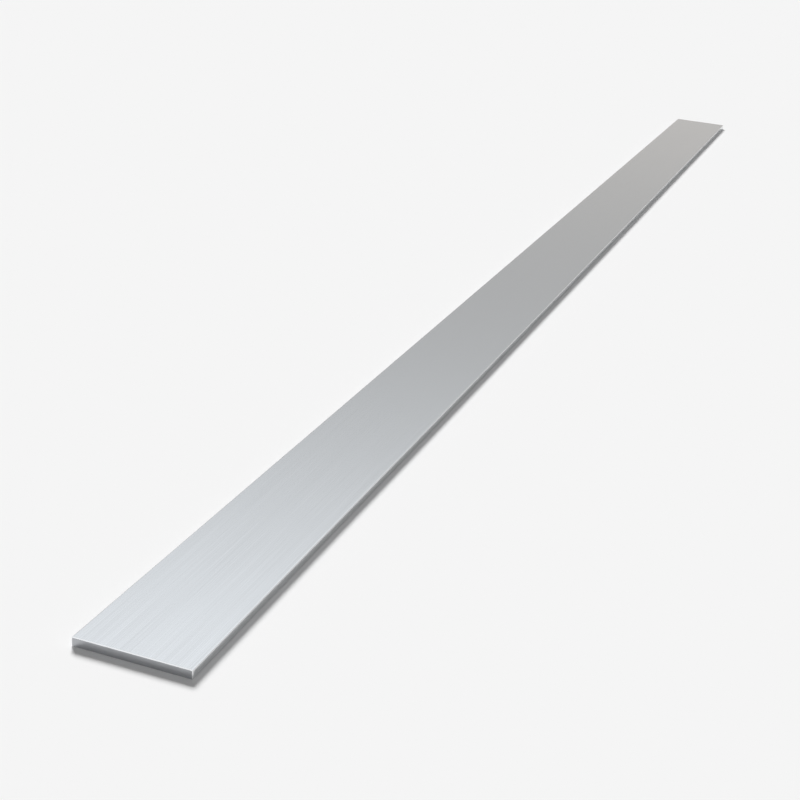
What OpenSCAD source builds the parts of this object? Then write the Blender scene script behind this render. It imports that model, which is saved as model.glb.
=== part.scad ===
// One length of rolled stainless steel flat bar, sawn square at both ends.
// X runs along the bar, Y across it and Z up. The origin is the middle of the
// underside, so the bar lies on the plane Z = 0.

/* [Bar] */
// Length between the two sawn ends
bar_length = 3000; // [250:250:6000]
// Width across the broad faces
bar_width = 120; // [20:5:200]
// Thickness between the broad faces
bar_thickness = 10; // [4:1:25]

/* [Edges] */
// Radius that the rolls leave on the four long corners
corner_radius = 1.2; // [0.3:0.1:1.8]
// Depth of the chamfer that is filed round each sawn end
end_chamfer = 0.8; // [0.2:0.1:1.5]

/* [Hidden] */

// Facets in a full turn of a rolled corner
$fn = 48;
// How far a cutting shape runs past the metal that it removes
cut_margin = 2;
mill_grey = [0.74, 0.75, 0.76];

// The section as it leaves the rolls, with X across the bar and Y up from the
// underside. Two crossed rectangles carry the flat faces, and a circle in each
// corner carries the rolled radius.
module rolled_section() {
    flat_w = bar_width - 2 * corner_radius;
    flat_t = bar_thickness - 2 * corner_radius;
    translate([-flat_w / 2, 0]) square([flat_w, bar_thickness]);
    translate([-bar_width / 2, corner_radius]) square([bar_width, flat_t]);
    for (x = [-flat_w / 2, flat_w / 2], y = [corner_radius, corner_radius + flat_t])
        translate([x, y]) circle(r = corner_radius);
}

// The rolled strip, cut to length with square ends
module sawn_length() {
    translate([-bar_length / 2, 0, 0])
        rotate([90, 0, 90])
            linear_extrude(height = bar_length) rolled_section();
}

// The wedge that one stroke of the file takes off a sawn edge. The edge lies
// on the Z axis, with the metal at negative X and negative Y.
module file_stroke(edge_length) {
    near = -end_chamfer - cut_margin;
    linear_extrude(height = edge_length + 2 * cut_margin, center = true)
        polygon([[near, cut_margin], [cut_margin, near], [cut_margin, cut_margin]]);
}

// The four strokes round the sawn end at positive X
module deburred_end() {
    translate([bar_length / 2, 0, bar_thickness / 2]) {
        for (face = [0, 1]) {
            mirror([0, 0, face])
                translate([0, 0, bar_thickness / 2])
                    rotate([90, 0, 0]) file_stroke(bar_width);
            mirror([0, face, 0])
                translate([0, bar_width / 2, 0]) file_stroke(bar_thickness);
        }
    }
}

module flat_bar() {
    color(mill_grey)
        difference() {
            sawn_length();
            for (end = [0, 1]) mirror([end, 0, 0]) deburred_end();
        }
}

flat_bar();
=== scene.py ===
import math

import bmesh
import bpy
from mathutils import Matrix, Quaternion, Vector, noise


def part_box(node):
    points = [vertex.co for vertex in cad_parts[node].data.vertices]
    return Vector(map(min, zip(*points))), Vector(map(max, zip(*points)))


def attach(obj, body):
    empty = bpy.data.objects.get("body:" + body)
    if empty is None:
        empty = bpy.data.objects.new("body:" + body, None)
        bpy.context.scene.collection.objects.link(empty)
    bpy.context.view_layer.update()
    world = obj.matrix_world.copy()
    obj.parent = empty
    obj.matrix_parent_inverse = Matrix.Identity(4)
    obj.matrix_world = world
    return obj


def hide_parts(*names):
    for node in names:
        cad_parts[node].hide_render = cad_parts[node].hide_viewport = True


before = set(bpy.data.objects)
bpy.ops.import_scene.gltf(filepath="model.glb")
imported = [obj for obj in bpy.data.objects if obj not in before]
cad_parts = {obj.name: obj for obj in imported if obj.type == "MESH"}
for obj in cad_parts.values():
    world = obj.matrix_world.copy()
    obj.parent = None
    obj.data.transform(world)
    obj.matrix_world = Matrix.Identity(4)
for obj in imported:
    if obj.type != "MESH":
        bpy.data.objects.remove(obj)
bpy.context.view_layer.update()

# The flat bar is one length of stainless steel, rolled in one piece. The rolls
# leave a small radius on its four long corners. Its ends are sawn square and
# then deburred with a file, which leaves a narrow chamfer round each of them.
bar_low, bar_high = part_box("flat_bar")
bar_middle = (bar_low + bar_high) / 2
half_length, half_width, half_thickness = (bar_high - bar_low) / 2
corner_radius = 0.0012
end_chamfer = 0.0008

# How finely the mesh follows each form
arc_steps = 10
face_columns = 220
edge_rows = 38
length_steps = 24
chamfer_steps = 3
tangent_strip = 0.00015  # the corner's round shading ends within this narrow strip of the flat


def flat_places(half_span, count):
    """Even steps across a flat from +half_span to -half_span, with a narrow strip at both sides."""
    inner = half_span - tangent_strip
    steps = [inner - 2 * inner * i / count for i in range(count + 1)]
    return [half_span, *steps, -half_span]


flat_half_width = half_width - corner_radius
flat_half_thickness = half_thickness - corner_radius
columns = flat_places(flat_half_width, face_columns)
rows = flat_places(flat_half_thickness, edge_rows)


def corner_arc(side_y, side_z, first_angle):
    """Points (y, z, normal y, normal z) of one rolled corner, its two tangent points included."""
    points = []
    for i in range(arc_steps + 1):
        angle = first_angle + i / arc_steps * math.pi / 2
        ny, nz = math.cos(angle), math.sin(angle)
        y = side_y * flat_half_width + corner_radius * ny
        z = side_z * flat_half_thickness + corner_radius * nz
        points.append((y, z, ny, nz))
    return points


# The outline of the section, round from the +Y edge over the top face
top_flat = [(y, half_thickness, 0, 1) for y in columns[1:-1]]
left_flat = [(-half_width, z, -1, 0) for z in rows[1:-1]]
under_flat = [(-y, -half_thickness, 0, -1) for y in columns[1:-1]]
right_flat = [(half_width, -z, 1, 0) for z in rows[1:-1]]
outline = (
    corner_arc(1, 1, 0) + top_flat
    + corner_arc(-1, 1, math.pi / 2) + left_flat
    + corner_arc(-1, -1, math.pi) + under_flat
    + corner_arc(1, -1, 1.5 * math.pi) + right_flat
)

# Which layer of the noise each kind of unevenness reads. The end at -X reads
# the layer as far on the other side of zero, so that the ends aren't alike.
WANDER, STRENGTH, STROKE = 7, 3, 5

# A round saw came down through the bar, and its rim left shallow ridges in arcs.
# Its feed was never quite even, so they wander and vary in depth a little.
saw_radius = 0.225
saw_side = 0.021  # how far the saw's shaft stood from the middle of the bar's width
saw_pitch = 0.0011
saw_depth = 0.00004
usual_strength = 0.7  # the share of that depth that most ridges have
strength_swing = 0.6
strengths_per_metre = 620
saw_wander = 0.0004
wanders_per_metre = 330


def saw_mark(end, y, z):
    """How deep the saw cut below the end plane at this place, in metres."""
    fed = z - math.sqrt(saw_radius ** 2 - (y - saw_side) ** 2)
    drift = saw_wander * noise.noise(Vector((fed * wanders_per_metre, 0, end * WANDER)))
    swing = strength_swing * noise.noise(Vector((fed * strengths_per_metre, 0, end * STRENGTH)))
    ridge = 0.5 - 0.5 * math.cos(2 * math.pi * (fed + drift) / saw_pitch)
    return saw_depth * (usual_strength + swing) * ridge


file_unevenness = 0.12
strokes_per_metre = (90, 160)  # along the bar's width and up its thickness


def chamfer_depth(end, y, z):
    """Depth of the filed chamfer at this place on the outline, in metres."""
    across, up = strokes_per_metre
    stroke = noise.noise(Vector((y * across, z * up, end * STROKE)))
    return end_chamfer * (1 + file_unevenness * stroke)


ROLLED, FILED, SAWN = range(3)
bm = bmesh.new()


def add_ring(places):
    """One vertex for each point of the outline, at (x, y, z) measured from the bar's middle."""
    return [bm.verts.new(bar_middle + Vector(place)) for place in places]


def join_rings(ring, following, finish):
    """One band of quads between two rings."""
    for i in range(len(ring)):
        j = (i + 1) % len(ring)
        bm.faces.new((ring[i], ring[j], following[j], following[i])).material_index = finish


def fill_sawn_face(end, ring):
    """A grid across the end face, joined to the chamfer's inner ring."""
    grid = {}
    for c, y in enumerate(columns):
        for r, z in enumerate(rows):
            place = Vector((end * (half_length - saw_mark(end, y, z)), y, z))
            grid[c, r] = bm.verts.new(bar_middle + place)
    last_column, last_row = len(columns) - 1, len(rows) - 1
    for c in range(last_column):
        for r in range(last_row):
            corners = (grid[c, r], grid[c, r + 1], grid[c + 1, r + 1], grid[c + 1, r])
            bm.faces.new(corners).material_index = SAWN

    # The grid's sides, in the order in which the outline meets them
    sides = (
        [grid[c, 0] for c in range(last_column + 1)],
        [grid[last_column, r] for r in range(last_row + 1)],
        [grid[c, last_row] for c in range(last_column, -1, -1)],
        [grid[0, r] for r in range(last_row, -1, -1)],
    )

    # A fan at each rounded corner, then a band along the side that follows it
    start = 0
    for side in sides:
        for i in range(start, start + arc_steps):
            bm.faces.new((ring[i], ring[i + 1], side[0])).material_index = SAWN
        start += arc_steps
        for i in range(len(side) - 1):
            outer = ring[start + i], ring[(start + i + 1) % len(ring)]
            bm.faces.new((*outer, side[i + 1], side[i])).material_index = SAWN
        start += len(side) - 1


def add_end(end):
    """The chamfer and the sawn face at one end. Returns the ring where the chamfer starts."""
    depths = [chamfer_depth(end, y, z) for y, z, _, _ in outline]
    rings = []
    for step in range(chamfer_steps + 1):
        places = []
        for (y, z, ny, nz), depth in zip(outline, depths):
            inset = depth * step / chamfer_steps
            y_in, z_in = y - ny * inset, z - nz * inset
            cut = saw_mark(end, y_in, z_in) if step == chamfer_steps else 0
            places.append((end * (half_length - depth + inset - cut), y_in, z_in))
        rings.append(add_ring(places))
    for ring, following in zip(rings, rings[1:]):
        join_rings(ring, following, FILED)

    # The chamfer meets the skin and the sawn face in a sharp line
    for ring in (rings[0], rings[-1]):
        for i, vert in enumerate(ring):
            crease = bm.edges.get((vert, ring[i - 1])) or bm.edges.new((vert, ring[i - 1]))
            crease.smooth = False
    fill_sawn_face(end, rings[-1])
    return rings[0]


start_ring = add_end(-1)
end_ring = add_end(1)
body_rings = [start_ring]
for step in range(1, length_steps):
    x = half_length * (2 * step / length_steps - 1)
    body_rings.append(add_ring((x, y, z) for y, z, _, _ in outline))
body_rings.append(end_ring)
for ring, following in zip(body_rings, body_rings[1:]):
    join_rings(ring, following, ROLLED)
bmesh.ops.recalc_face_normals(bm, faces=bm.faces)

# For a texture, the skin is unrolled over most of a square, with its seam on
# the +Y edge. The two ends lie beside it, each stretched to its full height.
texture_gap = 0.008
skin_share = 0.84
end_share = 0.06
round_distance = [0.0]
for (y, z, _, _), (next_y, next_z, _, _) in zip(outline, outline[1:] + outline[:1]):
    round_distance.append(round_distance[-1] + math.hypot(next_y - y, next_z - z))
place_in_outline = {vert: i for ring in body_rings for i, vert in enumerate(ring)}


def up_the_square(distance, half_span):
    """How far up the texture something lies, from its distance from the bar's middle."""
    return 0.5 + distance / half_span * (0.5 - texture_gap)


def skin_place(vert, crosses_seam):
    """Where a point of the rolled skin lies on the texture."""
    i = place_in_outline[vert]
    distance = round_distance[-1] if crosses_seam and i == 0 else round_distance[i]
    across = texture_gap + skin_share * distance / round_distance[-1]
    return across, up_the_square((vert.co - bar_middle).x, half_length)


def end_place(vert):
    """Where a point of a chamfer or a sawn face lies on the texture."""
    x, y, z = vert.co - bar_middle
    first = skin_share + 2 * texture_gap + (end_share + texture_gap if x > 0 else 0)
    return first + end_share * (0.5 + z / half_thickness / 2), up_the_square(y, half_width)


layout = bm.loops.layers.uv.new("OFBake")
seam_places = {0, len(outline) - 1}  # a quad that touches both of them lies across the seam
for face in bm.faces:
    face.smooth = True
    rolled = face.material_index == ROLLED
    crosses_seam = rolled and seam_places <= {place_in_outline[vert] for vert in face.verts}
    for corner in face.loops:
        vert = corner.vert
        corner[layout].uv = skin_place(vert, crosses_seam) if rolled else end_place(vert)

bar_mesh = bpy.data.meshes.new("rolled_bar")
bm.to_mesh(bar_mesh)
bm.free()
bar = bpy.data.objects.new("rolled_bar", bar_mesh)
bpy.context.scene.collection.objects.link(bar)


def feed(tree, socket, value):
    """Links another node's output to a socket, or else sets the socket to a plain value."""
    if isinstance(value, bpy.types.NodeSocket):
        tree.links.new(value, socket)
    else:
        socket.default_value = value


def add_node(tree, kind, **inputs):
    """A new node. Each input goes by its name, with _ for a space."""
    made = tree.nodes.new(kind)
    for name, value in inputs.items():
        feed(tree, made.inputs[name.replace("_", " ")], value)
    return made


def calc(tree, operation, *values, clamp=False):
    """The output of a Math node that works on these numbers and outputs."""
    made = tree.nodes.new("ShaderNodeMath")
    made.operation = operation
    made.use_clamp = clamp
    for socket, value in zip(made.inputs, values):
        feed(tree, socket, value)
    return made.outputs[0]


def mix_colours(tree, share, first, second):
    """The colour that lies this share of the way from the first colour to the second."""
    made = tree.nodes.new("ShaderNodeMix")
    made.data_type = "RGBA"
    sockets = {socket.identifier: socket for socket in made.inputs}
    feed(tree, sockets["Factor_Float"], share)
    feed(tree, sockets["A_Color"], first)
    feed(tree, sockets["B_Color"], second)
    return next(socket for socket in made.outputs if socket.identifier == "Result_Color")


def new_effect(name, takes, gives):
    """An empty node group: what it takes, with first values, and the mask that it gives."""
    group = bpy.data.node_groups.new(name, "ShaderNodeTree")
    for label, value in takes.items():
        kind = "NodeSocketVector" if isinstance(value, tuple) else "NodeSocketFloat"
        socket = group.interface.new_socket(label, in_out="INPUT", socket_type=kind)
        socket.default_value = value
    group.interface.new_socket(gives, in_out="OUTPUT", socket_type="NodeSocketFloat")
    taken = group.nodes.new("NodeGroupInput").outputs
    given = group.nodes.new("NodeGroupOutput").inputs[gives]
    return group, taken, given


def apply_effect(tree, effect, **inputs):
    """Places an effect in a material and returns its mask."""
    made = tree.nodes.new("ShaderNodeGroup")
    made.node_tree = effect
    for name, value in inputs.items():
        feed(tree, made.inputs[name.replace("_", " ")], value)
    return made.outputs[0]


# Parallel lines, which rolls, a saw or a file leave in the metal. The direction
# with the fewest lines in a metre is the one in which they run.
tool_lines, taken, given = new_effect(
    "tool_lines", {"Place": (0, 0, 0), "Lines Per Metre": (1, 1, 1), "Contrast": 1.0}, "Lines"
)
stretched = tool_lines.nodes.new("ShaderNodeVectorMath")
stretched.operation = "MULTIPLY"
feed(tool_lines, stretched.inputs[0], taken["Place"])
feed(tool_lines, stretched.inputs[1], taken["Lines Per Metre"])
threads = add_node(
    tool_lines, "ShaderNodeTexNoise", Vector=stretched.outputs[0], Scale=1, Detail=3, Roughness=0.6
)
swing = calc(tool_lines, "SUBTRACT", threads.outputs[0], 0.5)
feed(tool_lines, given, calc(tool_lines, "MULTIPLY_ADD", swing, taken["Contrast"], 0.5, clamp=True))

# Broad soft patches, where the metal took the pickling bath a little differently
pickled_patches, taken, given = new_effect(
    "pickled_patches", {"Place": (0, 0, 0), "Patch Size": 0.1}, "Patches"
)
patches = add_node(
    pickled_patches, "ShaderNodeTexNoise", Vector=taken["Place"],
    Scale=calc(pickled_patches, "DIVIDE", 1, taken["Patch Size"]), Detail=2, Roughness=0.5,
)
feed(pickled_patches, given, patches.outputs[0])

# Long corners rub on rolls, racks and other bars, so they are a little smoother, and brighter in
# colour: partly real rub wear, partly a painted highlight along the corners
corner_wear, taken, given = new_effect("corner_wear", {"Place": (0, 0, 0), "Reach": 0.0015}, "Wear")
place = add_node(corner_wear, "ShaderNodeSeparateXYZ", Vector=taken["Place"]).outputs
height = calc(corner_wear, "SUBTRACT", place["Z"], bar_middle.z)
nearness = []
for offset, half_span in ((place["Y"], half_width), (height, half_thickness)):
    depth = calc(corner_wear, "SUBTRACT", half_span, calc(corner_wear, "ABSOLUTE", offset))
    share = calc(corner_wear, "DIVIDE", depth, taken["Reach"])
    nearness.append(calc(corner_wear, "SUBTRACT", 1, share, clamp=True))
feed(corner_wear, given, calc(corner_wear, "SQRT", calc(corner_wear, "MULTIPLY", *nearness)))

# How much the lines, the bands and the patches each count in a finish's shade
line_share, band_share, patch_share = 0.55, 0.30, 0.15
bands_per_metre = (0.7, 85, 85)
band_contrast = 1.4
patch_size = 0.12
# The brighter colour on the long corners is partly rub wear and partly painted highlight
worn_colour = (0.80, 0.81, 0.82, 1)
worn_share = 0.7  # how far the most rubbed corners turn to that colour, which is partly a painted highlight
worn_smoothing = 0.05
worn_reach = 0.0016


def below_saw_rim(tree, place):
    """A place with its height taken from the saw's rim, so that lines follow the saw's arcs."""
    x, y, z = add_node(tree, "ShaderNodeSeparateXYZ", Vector=place).outputs
    aside = calc(tree, "SUBTRACT", y, saw_side)
    rim_squared = calc(tree, "SUBTRACT", saw_radius ** 2, calc(tree, "MULTIPLY", aside, aside))
    height = calc(tree, "SUBTRACT", z, calc(tree, "SQRT", rim_squared))
    return add_node(tree, "ShaderNodeCombineXYZ", X=x, Y=y, Z=height).outputs[0]


def add_steel(name, dark, light, smooth, rough, lines_per_metre, line_depth, contrast, sawn=False):
    """Gives the bar a steel finish, between two colours and two roughnesses."""
    material = bpy.data.materials.new(name)
    material.use_nodes = True
    tree = material.node_tree
    shader = tree.nodes["Principled BSDF"]
    shader.inputs["Metallic"].default_value = 1
    place = add_node(tree, "ShaderNodeTexCoord").outputs["Object"]
    lines = apply_effect(
        tree, tool_lines, Place=below_saw_rim(tree, place) if sawn else place,
        Lines_Per_Metre=lines_per_metre, Contrast=contrast,
    )
    bands = apply_effect(
        tree, tool_lines, Place=place, Lines_Per_Metre=bands_per_metre, Contrast=band_contrast
    )
    patches = apply_effect(tree, pickled_patches, Place=place, Patch_Size=patch_size)
    worn = apply_effect(tree, corner_wear, Place=place, Reach=worn_reach)
    tone = calc(tree, "MULTIPLY_ADD", bands, band_share, calc(tree, "MULTIPLY", lines, line_share))
    tone = calc(tree, "MULTIPLY_ADD", patches, patch_share, tone, clamp=True)
    colour = mix_colours(tree, tone, dark, light)
    # Painted highlight in part: the long corners turn towards the brighter colour
    colour = mix_colours(tree, calc(tree, "MULTIPLY", worn, worn_share), colour, worn_colour)
    feed(tree, shader.inputs["Base Color"], colour)
    roughness = calc(tree, "MULTIPLY_ADD", tone, smooth - rough, rough)
    roughness = calc(tree, "MULTIPLY_ADD", worn, -worn_smoothing, roughness)
    feed(tree, shader.inputs["Roughness"], roughness)
    relief = add_node(tree, "ShaderNodeBump", Strength=1, Distance=line_depth, Height=lines)
    feed(tree, shader.inputs["Normal"], relief.outputs[0])
    bar_mesh.materials.append(material)


# The three finishes, in the order ROLLED, FILED and SAWN
add_steel(
    "rolled_steel", dark=(0.68, 0.69, 0.70, 1), light=(0.80, 0.81, 0.82, 1),
    smooth=0.19, rough=0.27, lines_per_metre=(5, 1300, 1300), line_depth=3e-6, contrast=2.4,
)
# The filed chamfers are brighter than filed stainless really is: partly fresh filed metal, partly a
# painted highlight for the thin bright line along each end's rim
add_steel(
    "filed_steel_painted_highlight", dark=(0.86, 0.87, 0.88, 1), light=(0.96, 0.97, 0.98, 1),
    smooth=0.22, rough=0.32, lines_per_metre=(3000, 200, 3000), line_depth=6e-6, contrast=2.2,
)
# The sawn ends are darker than the rolled skin: partly the matte sawn metal, partly painted shade
# that darkens the end faces
add_steel(
    "sawn_steel_painted_shade", dark=(0.40, 0.41, 0.43, 1), light=(0.57, 0.58, 0.60, 1),
    smooth=0.30, rough=0.42, lines_per_metre=(200, 25, 3500), line_depth=5e-6, contrast=2.2,
    sawn=True,
)
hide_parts("flat_bar")
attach(bar, "root")

# The floor is a plain pale sheet that runs far past the view, so that it meets
# the background without a line. It takes the bar's soft shadow.
pale = (0.913, 0.913, 0.913, 1)
floor_reach = 300
floor_mesh = bpy.data.meshes.new("floor")
corners = ((-1, -1), (1, -1), (1, 1), (-1, 1))
floor_points = [(x * floor_reach, y * floor_reach, bar_low.z) for x, y in corners]
floor_mesh.from_pydata(floor_points, [], [range(len(corners))])
floor = bpy.data.objects.new("floor", floor_mesh)
bpy.context.scene.collection.objects.link(floor)
floor_paint = bpy.data.materials.new("floor_paint")
floor_paint.use_nodes = True
paint = floor_paint.node_tree.nodes["Principled BSDF"]
paint.inputs["Base Color"].default_value = pale
paint.inputs["Roughness"].default_value = 1
paint.inputs["Specular IOR Level"].default_value = 0
floor_mesh.materials.append(floor_paint)

# The room is a pale studio, the same all round. From the horizon up, the steel
# mirrors the pale floor's end, a warm strip, a grey wall, a broad cool white
# light and a pale grey ceiling.
walls_by_degrees = (
    (0, pale[:3]),
    (8, (0.75, 0.70, 0.65)),
    (14, (0.40, 0.40, 0.40)),
    (20, (0.40, 0.40, 0.40)),
    (32, (1.15, 1.20, 1.25)),
    (50, (0.90, 0.90, 0.90)),
    (90, (0.75, 0.75, 0.75)),
)
room_light = (0.25, 0.25, 0.25, 1)
studio = bpy.data.worlds.new("studio")
bpy.context.scene.world = studio
studio.use_nodes = True
tree = studio.node_tree
direction = add_node(tree, "ShaderNodeTexCoord").outputs["Generated"]
rise = add_node(tree, "ShaderNodeSeparateXYZ", Vector=direction).outputs["Z"]
quarter_turn = calc(tree, "DIVIDE", calc(tree, "ARCSINE", rise), math.pi / 2)
walls = add_node(tree, "ShaderNodeValToRGB", Fac=quarter_turn)
steps = walls.color_ramp.elements
while len(steps) < len(walls_by_degrees):
    steps.new(0.5)
for step, (degrees, colour) in zip(steps, walls_by_degrees):
    step.position = degrees / 90
    step.color = (*colour, 1)
ray = tree.nodes.new("ShaderNodeLightPath").outputs
seen = calc(tree, "MAXIMUM", ray["Is Camera Ray"], ray["Is Transmission Ray"])
room = mix_colours(tree, seen, room_light, pale)
room = mix_colours(tree, ray["Is Glossy Ray"], room, walls.outputs["Color"])
feed(tree, tree.nodes["Background"].inputs["Color"], room)

# One large soft lamp lights the floor from behind the bar's left side, so that
# the bar's shadow falls towards the camera. With the room's light it adds up
# to the level at which a colour renders as it is written.
lamp_elevation = math.radians(34)
lamp_heading = math.radians(34)
lamp_spread = math.radians(20)
lamp_data = bpy.data.lights.new("soft_lamp", "SUN")
lamp_data.energy = (1 - room_light[0]) * math.pi / math.sin(lamp_elevation)
lamp_data.angle = lamp_spread
lamp = bpy.data.objects.new("soft_lamp", lamp_data)
lamp.rotation_euler = (0, math.pi / 2 - lamp_elevation, lamp_heading)
lamp.visible_glossy = False
bpy.context.scene.collection.objects.link(lamp)

# The camera stands over the bar's near end, as the photograph's does, and looks
# along it. A small turn about its own axis gives the bar the same slant.
camera_place = Vector((-2.505, -0.557, 0.711))
camera_aim = Vector((-0.796, 0.007, 0.005))
camera_turn = math.radians(5)
camera_data = bpy.data.cameras.new("camera")
camera_data.sensor_width = 36
camera_data.lens = 67.5
camera = bpy.data.objects.new("camera", camera_data)
camera.location = camera_place
level_view = (camera_aim - camera_place).to_track_quat("-Z", "Y")
camera.rotation_mode = "QUATERNION"
camera.rotation_quaternion = level_view @ Quaternion((0, 0, 1), camera_turn)
bpy.context.scene.collection.objects.link(camera)
bpy.context.scene.camera = camera
bpy.context.scene.view_settings.view_transform = "Standard"
